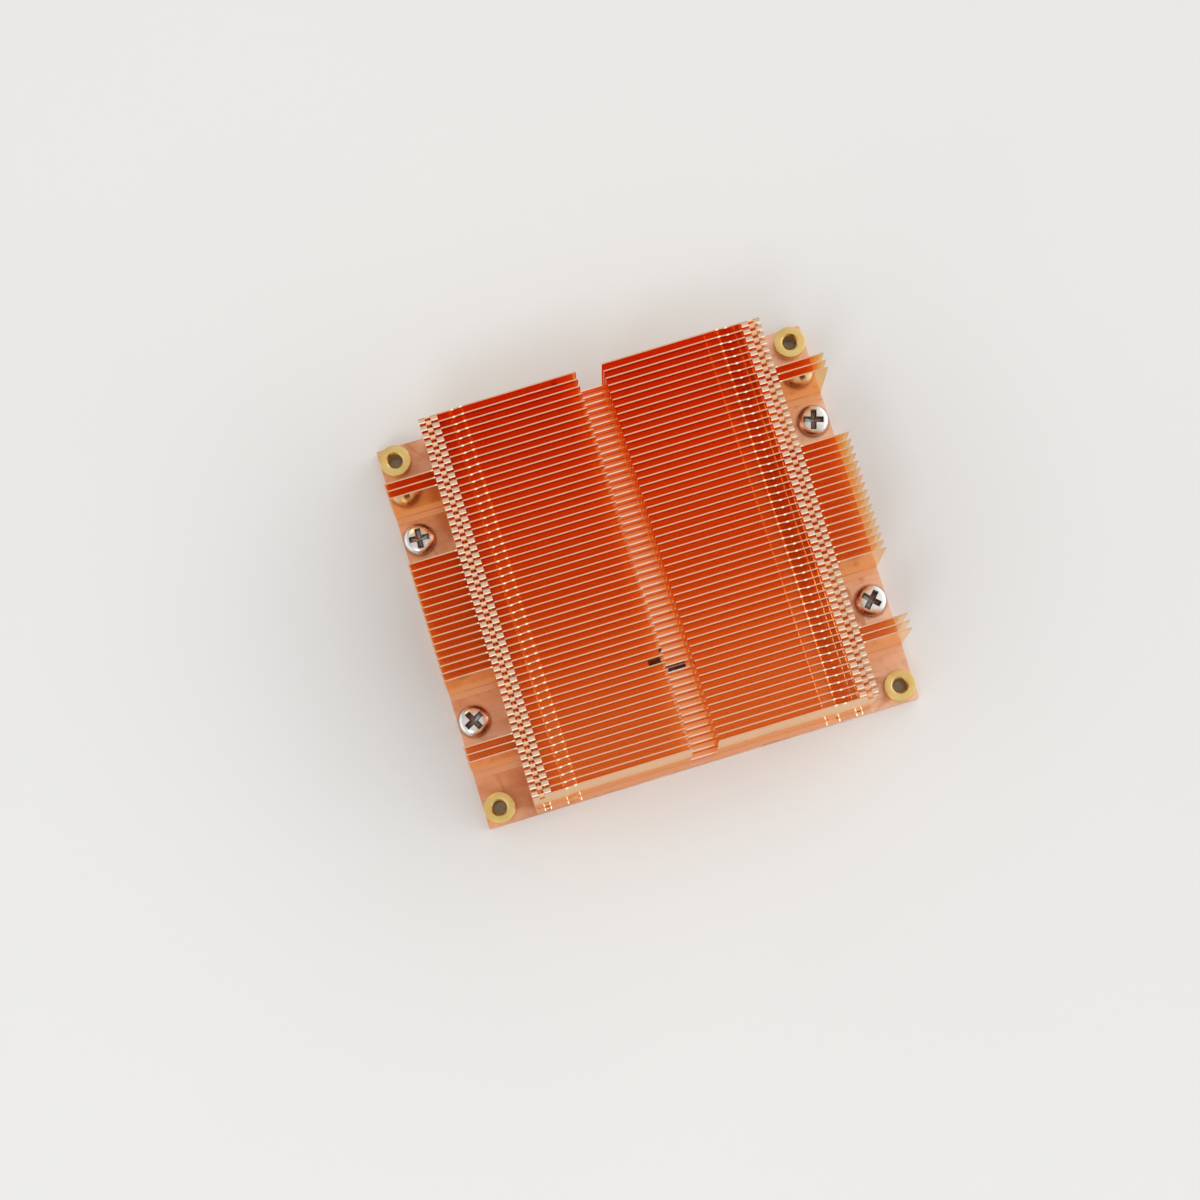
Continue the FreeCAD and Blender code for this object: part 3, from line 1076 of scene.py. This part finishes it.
    def _holds(self, x: float, band: Band) -> bool:
        """Tell whether the sheet has metal at a place.

        Args:
            x: The place along the fin.
            band: The stretch of the sheet.

        Returns:
            True where there is metal.
        """
        across = abs(x)
        slotted = self.slot is not None and self.slot[0] < x < self.slot[1]
        relieved = self.foot_gap[0] < across < self.foot_gap[1]
        footed = not (slotted or relieved or self.foot_window[0] < across < self.foot_window[1])
        webbed = across > self.channel_half
        solid = webbed and not self.window[0] < across < self.window[1]
        tabbed = self.zipped and self.tab_start < across < self.block_half
        gap = self.tongue_side_gap
        return {
            Band.FOOT: footed,
            Band.FOOT_FOLD: footed,
            Band.STUB: True,
            Band.WEB: webbed,
            Band.NOTCH: solid,
            Band.CUT_EDGE: solid and not tabbed,
            Band.TOP_FOLD: solid and tabbed,
            Band.TAB: solid and tabbed,
            Band.STRIP: tabbed,
            Band.HEM: tabbed,
            Band.TONGUE: self.zipped and self.window[0] + gap < across < self.window[1] - gap,
        }[band]


@dataclass
class FinStack:
    """The 53 fins, zipped into one block and soldered to the plate."""

    plate_top: float
    count: int = 53
    pitch: float = 1.5 * MM
    foot_reach: float = 1.34 * MM
    middle_wings: int = 8
    outer_wings: tuple[int, int] = (17, 19)
    slot_number: int = 14
    slot: Span = mm(-4.9, 2.2)
    front_lean: float = 0.25 * MM
    headroom: float = 0.03 * MM
    wobble: float = 0.035 * MM
    waves: tuple[float, float, float] = (32, 640, 44)
    seed: int = 7

    @property
    def nodes(self) -> list[str]:
        """Names of the solids that the stack stands for."""
        return [f"fin_{number:02d}" for number in range(1, self.count + 1)]

    def build(self, finish: bpy.types.Material) -> Thing:
        """Fold one fin of each kind and stand the copies in their row.

        Args:
            finish: The copper of the fins.

        Returns:
            The whole stack as one plain mesh.
        """
        short_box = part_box("fin_02")
        long_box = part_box("fin_08")
        front_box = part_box("fin_01")
        height = short_box[1][2] - self.plate_top - self.headroom
        short_half = short_box[1][0]
        reach = self.foot_reach
        front_reach = -(self.count // 2) * self.pitch - front_box[0][1]
        kinds = {
            "Short fin": FoldedFin("short_fin", short_half, height, reach),
            "Long fin": FoldedFin("long_fin", long_box[1][0], height, reach),
            "Front fin": FoldedFin(
                "front_fin", short_half, height, front_reach, zipped=False, lean=self.front_lean
            ),
            "Slotted fin": FoldedFin("slotted_fin", short_half, height, reach, slot=self.slot),
        }
        items = {label: fin.build() for label, fin in kinds.items()}
        stack = new_object("fin_stack", bpy.data.meshes.new("fin_stack"))
        self._tree(list(kinds)).run(stack, {
            "Count": self.count, "Pitch": self.pitch, "Plate top": self.plate_top,
            "Fin height": height, "Middle wings": self.middle_wings,
            "First wing": self.outer_wings[0], "Last wing": self.outer_wings[1],
            "Slotted number": self.slot_number, "Wobble": self.wobble, "Seed": self.seed,
            "Finish": finish, **items,
        })
        discard(*items.values())
        return stack

    def _tree(self, kinds: Sequence[str]) -> CopyTree:
        """Build the tree that chooses a kind of fin for every place in the row.

        Args:
            kinds: Labels of the short, long, front and slotted fins, in that order.

        Returns:
            The tree.
        """
        tree = CopyTree("fin stack", {
            "Int": ["Count", "Middle wings", "First wing", "Last wing", "Slotted number", "Seed"],
            "Float": ["Pitch", "Plate top", "Fin height", "Wobble"],
            "Object": kinds,
        })
        graph = tree.graph
        pitch = tree.number("Pitch")
        middle = (tree.number("Count") - 1) * 0.5
        row = graph.add("GeometryNodeMeshLine", {"mode": "OFFSET"}, {
            "Count": tree.number("Count"),
            "Start Location": graph.vector(Y=middle * pitch * -1, Z=tree.number("Plate top")),
            "Offset": graph.vector(Y=pitch),
        })
        index = graph.number(graph.add("GeometryNodeInputIndex"), 0)
        steps = abs(index - middle)
        in_middle = steps < tree.number("Middle wings") + 0.5
        in_group = steps.within(tree.number("First wing") - 0.5, tree.number("Last wing") + 0.5)
        is_long = in_middle + in_group
        is_front = index < 0.5
        is_slotted = abs(index + 1 - tree.number("Slotted number")) < 0.5
        is_short = 1 - is_long - is_front - is_slotted
        join = graph.add("GeometryNodeJoinGeometry")
        for label, chosen in zip(kinds, (is_short, is_long, is_front, is_slotted)):
            copies = graph.add("GeometryNodeInstanceOnPoints", {}, {
                "Points": row.outputs[0], "Selection": chosen, "Instance": tree.item(label),
            })
            graph.tree.links.new(copies.outputs[0], join.inputs[0])
        real = graph.add("GeometryNodeRealizeInstances", {}, {"Geometry": join.outputs[0]})
        tree.close(self._bend(tree, real.outputs[0]))
        return tree

    def _bend(self, tree: CopyTree, geometry: Socket) -> Socket:
        """Lean every fin a little, more towards its top and never at its foot.

        Args:
            tree: The tree.
            geometry: The realized fins.

        Returns:
            The bent fins.
        """
        graph = tree.graph
        place = graph.add("GeometryNodeInputPosition").outputs[0]
        waves = graph.add("ShaderNodeVectorMath", {"operation": "MULTIPLY"}, {0: place, 1: self.waves})
        noise = graph.add("ShaderNodeTexNoise", {"noise_dimensions": "4D"}, {
            "Vector": waves.outputs[0], "W": tree.number("Seed"), "Scale": 1.0, "Detail": 1.0,
        })
        height = graph.parts(place)[2]
        raised = (height - tree.number("Plate top")) / tree.number("Fin height")
        lean = (graph.number(noise, 0) - 0.5) * 2 * tree.number("Wobble") * raised
        inputs = {"Geometry": geometry, "Offset": graph.vector(Y=lean)}
        return graph.add("GeometryNodeSetPosition", {}, inputs).outputs[0]


# ---- bushes, screws and solder


def rounded(profile: Sequence[tuple[float, float, float]], steps: int = 3) -> list[Span]:
    """Round the corners of a turned profile.

    Args:
        profile: Radius, height and rounding of each corner.
        steps: Points on each rounded corner, less one.

    Returns:
        The rounded profile.
    """
    result = []
    for place, (radius, height, soft) in enumerate(profile):
        corner = Vector((radius, height))
        if soft == 0:
            result.append(tuple(corner))
            continue
        before = Vector(profile[place - 1][:2])
        after = Vector(profile[(place + 1) % len(profile)][:2])
        start = corner + (before - corner).normalized() * soft
        end = corner + (after - corner).normalized() * soft
        for share in (step / steps for step in range(steps + 1)):
            result.append(tuple(start.lerp(corner, share).lerp(corner.lerp(end, share), share)))
    return result


@dataclass
class CornerBushes:
    """Four flanged brass bushes pressed into the plate's corners."""

    plate_top: float
    body_radius: float = 2.5 * MM
    bore_radius: float = 1.35 * MM
    mouth_radius: float = 1.75 * MM
    edge: float = 0.12 * MM
    bore_edge: float = 0.08 * MM
    nodes: tuple[str, ...] = ("bush_front_left", "bush_front_right", "bush_back_left", "bush_back_right")

    def build(self, finish: bpy.types.Material) -> Thing:
        """Turn one bush and copy it to the four corners.

        Args:
            finish: The brass.

        Returns:
            The four bushes as one plain mesh.
        """
        boxes = [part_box(node) for node in self.nodes]
        low, high = boxes[0]
        head = (high[0] - low[0]) / 2
        top = high[2]
        profile = rounded([
            (self.bore_radius, low[2], 0),
            (self.body_radius, low[2], 0),
            (self.body_radius, self.plate_top, 0),
            (head, self.plate_top, self.bore_edge),
            (head, top, self.edge),
            (self.mouth_radius, top, self.bore_edge),
            (self.bore_radius, top - (self.mouth_radius - self.bore_radius), self.bore_edge),
        ])
        item = turned("bush", profile, closed=True)
        shade(item)
        places = [Place((low[0] + high[0]) / 2, (low[1] + high[1]) / 2, 0) for low, high in boxes]
        return copy_to("corner_bushes", places, item, finish)


@dataclass
class PlateScrews:
    """Four pan-head screws with cross recesses, each left at its own angle."""

    plate_top: float
    inset: float = 3.0 * MM
    shank_radius: float = 1.5 * MM
    head_radius: float = 3.12 * MM
    head_height: float = 2.4 * MM
    rim_height: float = 0.9 * MM
    soft: float = 0.12 * MM
    flatness: float = 3.6
    crown_steps: int = 14
    recess_span: float = 4.2 * MM
    recess_arm: float = 1.2 * MM
    shoulder_depth: float = 0.9 * MM
    shoulder_scale: float = 0.82
    recess_depth: float = 1.9 * MM
    cutter_margin: float = 0.3 * MM
    shaded_reach: float = 0.8
    centre_shade: float = 0.15
    turns: tuple[float, ...] = (28, 46, -4, -17)
    nodes: tuple[str, ...] = ("plate_screws",)

    @property
    def places(self) -> list[Place]:
        """Where the four heads sit on the plate, from the front left to the back right."""
        low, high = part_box(self.nodes[0])
        spots = [(x, y) for y in (low[1] + self.inset, high[1] - self.inset)
                 for x in (low[0] + self.inset, high[0] - self.inset)]
        turns = map(math.radians, self.turns)
        return [Place(x, y, self.plate_top, turn) for (x, y), turn in zip(spots, turns)]

    def build(self, finish: bpy.types.Material) -> Thing:
        """Make one screw and copy it to its four holes."""
        item = self._screw(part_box(self.nodes[0])[0][2] - self.plate_top)
        return copy_to("pan_head_screws", self.places, item, finish)

    def _screw(self, tip: float) -> Thing:
        """Turn the screw and cut its recess.

        Args:
            tip: Height of the screw's tip, below its head.

        Returns:
            The screw with the underside of its head on Z = 0.
        """
        climbs = [math.pi / 2 * step / self.crown_steps for step in range(self.crown_steps, 0, -1)]
        radii = [self.head_radius * math.sin(climb) ** (2 / self.flatness) for climb in climbs]
        profile = [
            (0.0, tip), (self.shank_radius, tip), (self.shank_radius, 0.0),
            (self.head_radius - self.soft, 0.0), (self.head_radius, self.soft),
            *((radius, self._crown(radius)) for radius in radii), (0.0, self.head_height),
        ]
        screw = turned("screw", profile, closed=False)
        cutter = self._recess()
        cut = screw.modifiers.new("recess", "BOOLEAN")
        cut.operation = "DIFFERENCE"
        cut.solver = "EXACT"
        cut.object = cutter
        bake_modifiers(screw)
        discard(cutter)
        shade(screw)
        self._mark_recess(screw)
        return screw

    def _crown(self, radius: float) -> float:
        """Return the height of the head's rounded top at a distance from the axis."""
        share = min(1.0, radius / self.head_radius) ** self.flatness
        rise = self.head_height - self.rim_height
        return self.rim_height + rise * (1 - share) ** (1 / self.flatness)

    def _mark_recess(self, screw: Thing) -> None:
        """Record on every point how much painted shade it takes: most at the deep ends of the cross.

        Args:
            screw: The cut screw.
        """
        marks = screw.data.attributes.new(NickelSteel.SUNK, "FLOAT", "POINT")
        arm_end = self.recess_span / 2 * self.shoulder_scale
        for vert, mark in zip(screw.data.vertices, marks.data):
            radius = math.hypot(vert.co.x, vert.co.y)
            if radius < self.head_radius * self.shaded_reach and vert.co.z > 0:
                depth = (self._crown(radius) - vert.co.z) / self.shoulder_depth
                outward = min(1.0, radius / arm_end) ** 2
                recess_shade = self.centre_shade + (1 - self.centre_shade) * outward
                mark.value = min(1.0, max(0.0, depth)) * recess_shade

    def _recess(self) -> Thing:
        """Make the tapered cross with a pointed bottom that the recess is cut with.

        Returns:
            The cutter.
        """
        flare = 1 + (1 - self.shoulder_scale) * self.cutter_margin / self.shoulder_depth
        bm = bmesh.new()
        loops = [[bm.verts.new((0, 0, self.head_height - self.recess_depth))]]
        for depth, scale in ((self.shoulder_depth, self.shoulder_scale), (-self.cutter_margin, flare)):
            arm = self.recess_arm / 2 * (0.5 + scale / 2)
            tip = self.recess_span / 2 * scale
            quarter = [(tip, -arm), (tip, arm), (arm, arm)]
            outline = [(x * c - y * s, x * s + y * c)
                       for c, s in ((1, 0), (0, 1), (-1, 0), (0, -1)) for x, y in quarter]
            loops.append([bm.verts.new((x, y, self.head_height - depth)) for x, y in outline])
        bm.faces.new(loops[-1])
        loft(bm, loops)
        bmesh.ops.recalc_face_normals(bm, faces=bm.faces)
        return object_from_bmesh("recess", bm)


@dataclass
class SolderBeads:
    """Solder that has squeezed out beside the front foot and one tab."""

    plate_top: float
    fin_top: float
    rings: int = 8
    segments: int = 14
    lumps: int = 3
    lumpiness: float = 0.18
    lump_turn: float = 9000.0
    foot_beads: tuple[tuple[float, ...], ...] = (
        mm(-27.1, -38.95, 1.3, 0.34, 0.22), mm(-32.6, -39.45, 0.6, 0.5, 0.2),
        mm(27.0, -38.95, 1.2, 0.36, 0.25), mm(28.1, -39.35, 0.5, 0.4, 0.2),
        mm(26.3, -39.3, 0.5, 0.3, 0.16), mm(29.8, -39.55, 0.35, 0.3, 0.14),
        mm(32.6, -39.4, 0.7, 0.45, 0.2), mm(-26.1, -39.4, 0.3, 0.3, 0.14),
    )
    tab_bead: tuple[float, ...] = mm(-31.35, -36.45, 0.5, 0.45, 0.3)
    nodes: tuple[str, ...] = ()

    def build(self, finish: bpy.types.Material) -> Thing:
        """Set every bead as a lumpy drop.

        Args:
            finish: The solder.

        Returns:
            The beads as one mesh.
        """
        bm = bmesh.new()
        grounds = {bead: self.plate_top for bead in self.foot_beads}
        grounds[self.tab_bead] = self.fin_top - self.tab_bead[-1]
        for bead, ground in grounds.items():
            self._drop(bm, bead, ground)
        bmesh.ops.recalc_face_normals(bm, faces=bm.faces)
        beads = object_from_bmesh("solder_beads", bm)
        beads.data.materials.append(finish)
        beads.data.shade_smooth()
        return beads

    def _drop(self, bm: bmesh.types.BMesh, bead: Sequence[float], ground: float) -> None:
        """Add one drop, flat underneath and uneven all round.

        Args:
            bm: The mesh that the drop is added to.
            bead: X, Y, length along X, width and height of the drop.
            ground: The height that it stands on.
        """
        x, y, length, width, height = bead
        loops = [[bm.verts.new((x, y, ground))]]
        for ring in range(1, self.rings):
            climb = math.pi / 2 * ring / self.rings
            lower = climb - math.pi / 2 / self.rings
            loop = []
            for turn in (math.tau * step / self.segments for step in range(self.segments)):
                wave = math.sin(self.lumps * turn + x * self.lump_turn)
                reach = math.cos(lower) * (1 + self.lumpiness * wave * math.cos(climb))
                loop.append(bm.verts.new((
                    x + length / 2 * reach * math.cos(turn),
                    y + width / 2 * reach * math.sin(turn),
                    ground + height * math.sin(lower),
                )))
            loops.append(loop)
        loops.append([bm.verts.new((x, y, ground + height))])
        loft(bm, loops)


# ---- the whole part


@dataclass
class HeatSink:
    """The heat sink: its plate and everything that stands on it."""

    bush_finish: Finish = TurnedBrass("turned brass")
    screw_finish: Finish = NickelSteel("nickel-plated steel")
    solder_finish: Finish = SolderTin("set solder")

    def dress(self) -> None:
        """Build every piece, give it its finish and fix it to the part's one body."""
        plate_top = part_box("base_plate")[1][2]
        fin_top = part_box("fin_02")[1][2]
        screws = PlateScrews(plate_top)
        seats = tuple((place.x, place.y) for place in screws.places)
        self._dress_plate(PlateCopper("satin copper plate", seats=seats))
        fin_finish = SheetCopper("bright copper sheet", plate_top, fin_top)
        for maker, finish, slot in (
            (FinStack(plate_top), fin_finish, Slot.FINS),
            (CornerBushes(plate_top), self.bush_finish, Slot.BUSHES),
            (screws, self.screw_finish, Slot.SCREWS),
            (SolderBeads(plate_top, fin_top), self.solder_finish, Slot.SCREWS),
        ):
            self._fix(maker.build(finish.build()), slot, maker.nodes)

    @staticmethod
    def _dress_plate(finish: Finish) -> None:
        """Give the plate's own solid its copper.

        Args:
            finish: The copper of the plate.
        """
        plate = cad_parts["base_plate"]
        plate.data.materials.clear()
        plate.data.materials.append(finish.build())
        LOG.info("base_plate: solid kept, copper finish")

    @staticmethod
    def _fix(piece: Thing, slot: Slot, nodes: Sequence[str]) -> None:
        """Fix a piece to the part and say what it stands for.

        Args:
            piece: The finished piece.
            slot: The record's slot for its finish; not used.
            nodes: The solids that it stands for.
        """
        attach(piece, ROOT)
        if nodes:
            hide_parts(*nodes)
        LOG.info("%s: %d faces for %d solids", piece.name, len(piece.data.polygons), len(nodes))


# ---- the studio


@dataclass
class Studio:
    """A pale floor, a light room, a soft box overhead, a soft side light and the camera."""

    floor_half: float = 2.5
    floor_drop: float = 0.02 * MM
    box_place: Vector = field(default_factory=lambda: Vector((0.0, 0.05, 1.3)))
    box_size: float = 1.5
    box_power: float = 1.1
    key_place: Vector = field(default_factory=lambda: Vector((-0.3, -0.45, 0.8)))
    key_size: float = 0.3
    key_power: float = 1.1
    room_tint: Colour = (1, 0.99, 0.975, 1)
    zenith: float = 0.66
    horizon: float = 0.48
    side_range: Span = (0.5, 0.9)
    left_glow: float = 0.8
    right_glow: float = 1.3
    right_rise: Span = (0.088, 0.125)
    rise: float = 0.28
    camera_place: Vector = field(default_factory=lambda: Vector((-34.83, -91.25, 634.34)) * MM)
    camera_turn: tuple[float, float, float] = (8.303, 0.239, -16.988)
    lens: float = 94.97
    near_clip: float = 0.01
    bounces: int = 16

    def build(self) -> None:
        """Set up the floor, the lights and the camera."""
        self._floor()
        self._lamp("soft_box", self.box_place, self.box_size, self.box_power)
        self._lamp("key_light", self.key_place, self.key_size, self.key_power)
        self._world()
        self._camera()
        self._light_paths()
        bpy.context.scene.view_settings.view_transform = "Standard"
        LOG.info("studio ready")

    def _light_paths(self) -> None:
        """Let light reach the bottom of the narrow gaps between the bright fins and return."""
        cycles = bpy.context.scene.cycles
        cycles.max_bounces = cycles.glossy_bounces = cycles.diffuse_bounces = self.bounces

    def _floor(self) -> None:
        """Lay the floor just under the plate."""
        bm = bmesh.new()
        corners = [(-1, -1), (1, -1), (1, 1), (-1, 1)]
        bm.faces.new([bm.verts.new((x * self.floor_half, y * self.floor_half, -self.floor_drop))
                      for x, y in corners])
        floor = object_from_bmesh("floor", bm)
        floor.data.materials.append(PaleFloor("pale floor").build())

    @staticmethod
    def _lamp(name: str, place: Vector, size: float, power: float) -> None:
        """Hang a square area lamp that faces the part.

        Args:
            name: The lamp's name.
            place: Its middle.
            size: Its side.
            power: Its power in watts.
        """
        data = bpy.data.lights.new(name, "AREA")
        data.shape = "SQUARE"
        data.size = size
        data.energy = power
        lamp = new_object(name, data)
        lamp.location = place
        lamp.rotation_euler = place.to_track_quat("Z", "Y").to_euler()

    def _world(self) -> None:
        """Make the room light above, dimmer towards the horizon and brighter at both sides."""
        world = bpy.data.worlds.new("studio room")
        bpy.context.scene.world = world
        graph = Graph.fresh(world, "Generated")
        across, _, height = graph.parts(graph.where)
        strength = height.eased(0.0, 1.0) * (self.zenith - self.horizon) + self.horizon
        strength = strength + across.eased(*self.side_range) * self.right_glow
        strength = strength + across.eased(*self.right_rise) * self.rise
        strength = strength + across.eased(*(-limit for limit in self.side_range)) * self.left_glow
        inputs = {"Color": self.room_tint, "Strength": strength}
        room = graph.add("ShaderNodeBackground", {}, inputs)
        graph.add("ShaderNodeOutputWorld", {}, {"Surface": room.outputs[0]})

    def _camera(self) -> None:
        """Look down on the part, a little from the front left."""
        data = bpy.data.cameras.new("camera")
        data.lens = self.lens
        data.clip_start = self.near_clip
        camera = new_object("camera", data)
        camera.location = self.camera_place
        camera.rotation_euler = Euler([math.radians(turn) for turn in self.camera_turn], "XYZ")
        bpy.context.scene.camera = camera


def main() -> None:
    """Build the part and its studio."""
    logging.basicConfig(level=logging.INFO, format="%(name)s: %(message)s")
    HeatSink().dress()
    Studio().build()


if __name__ == "__main__":
    main()
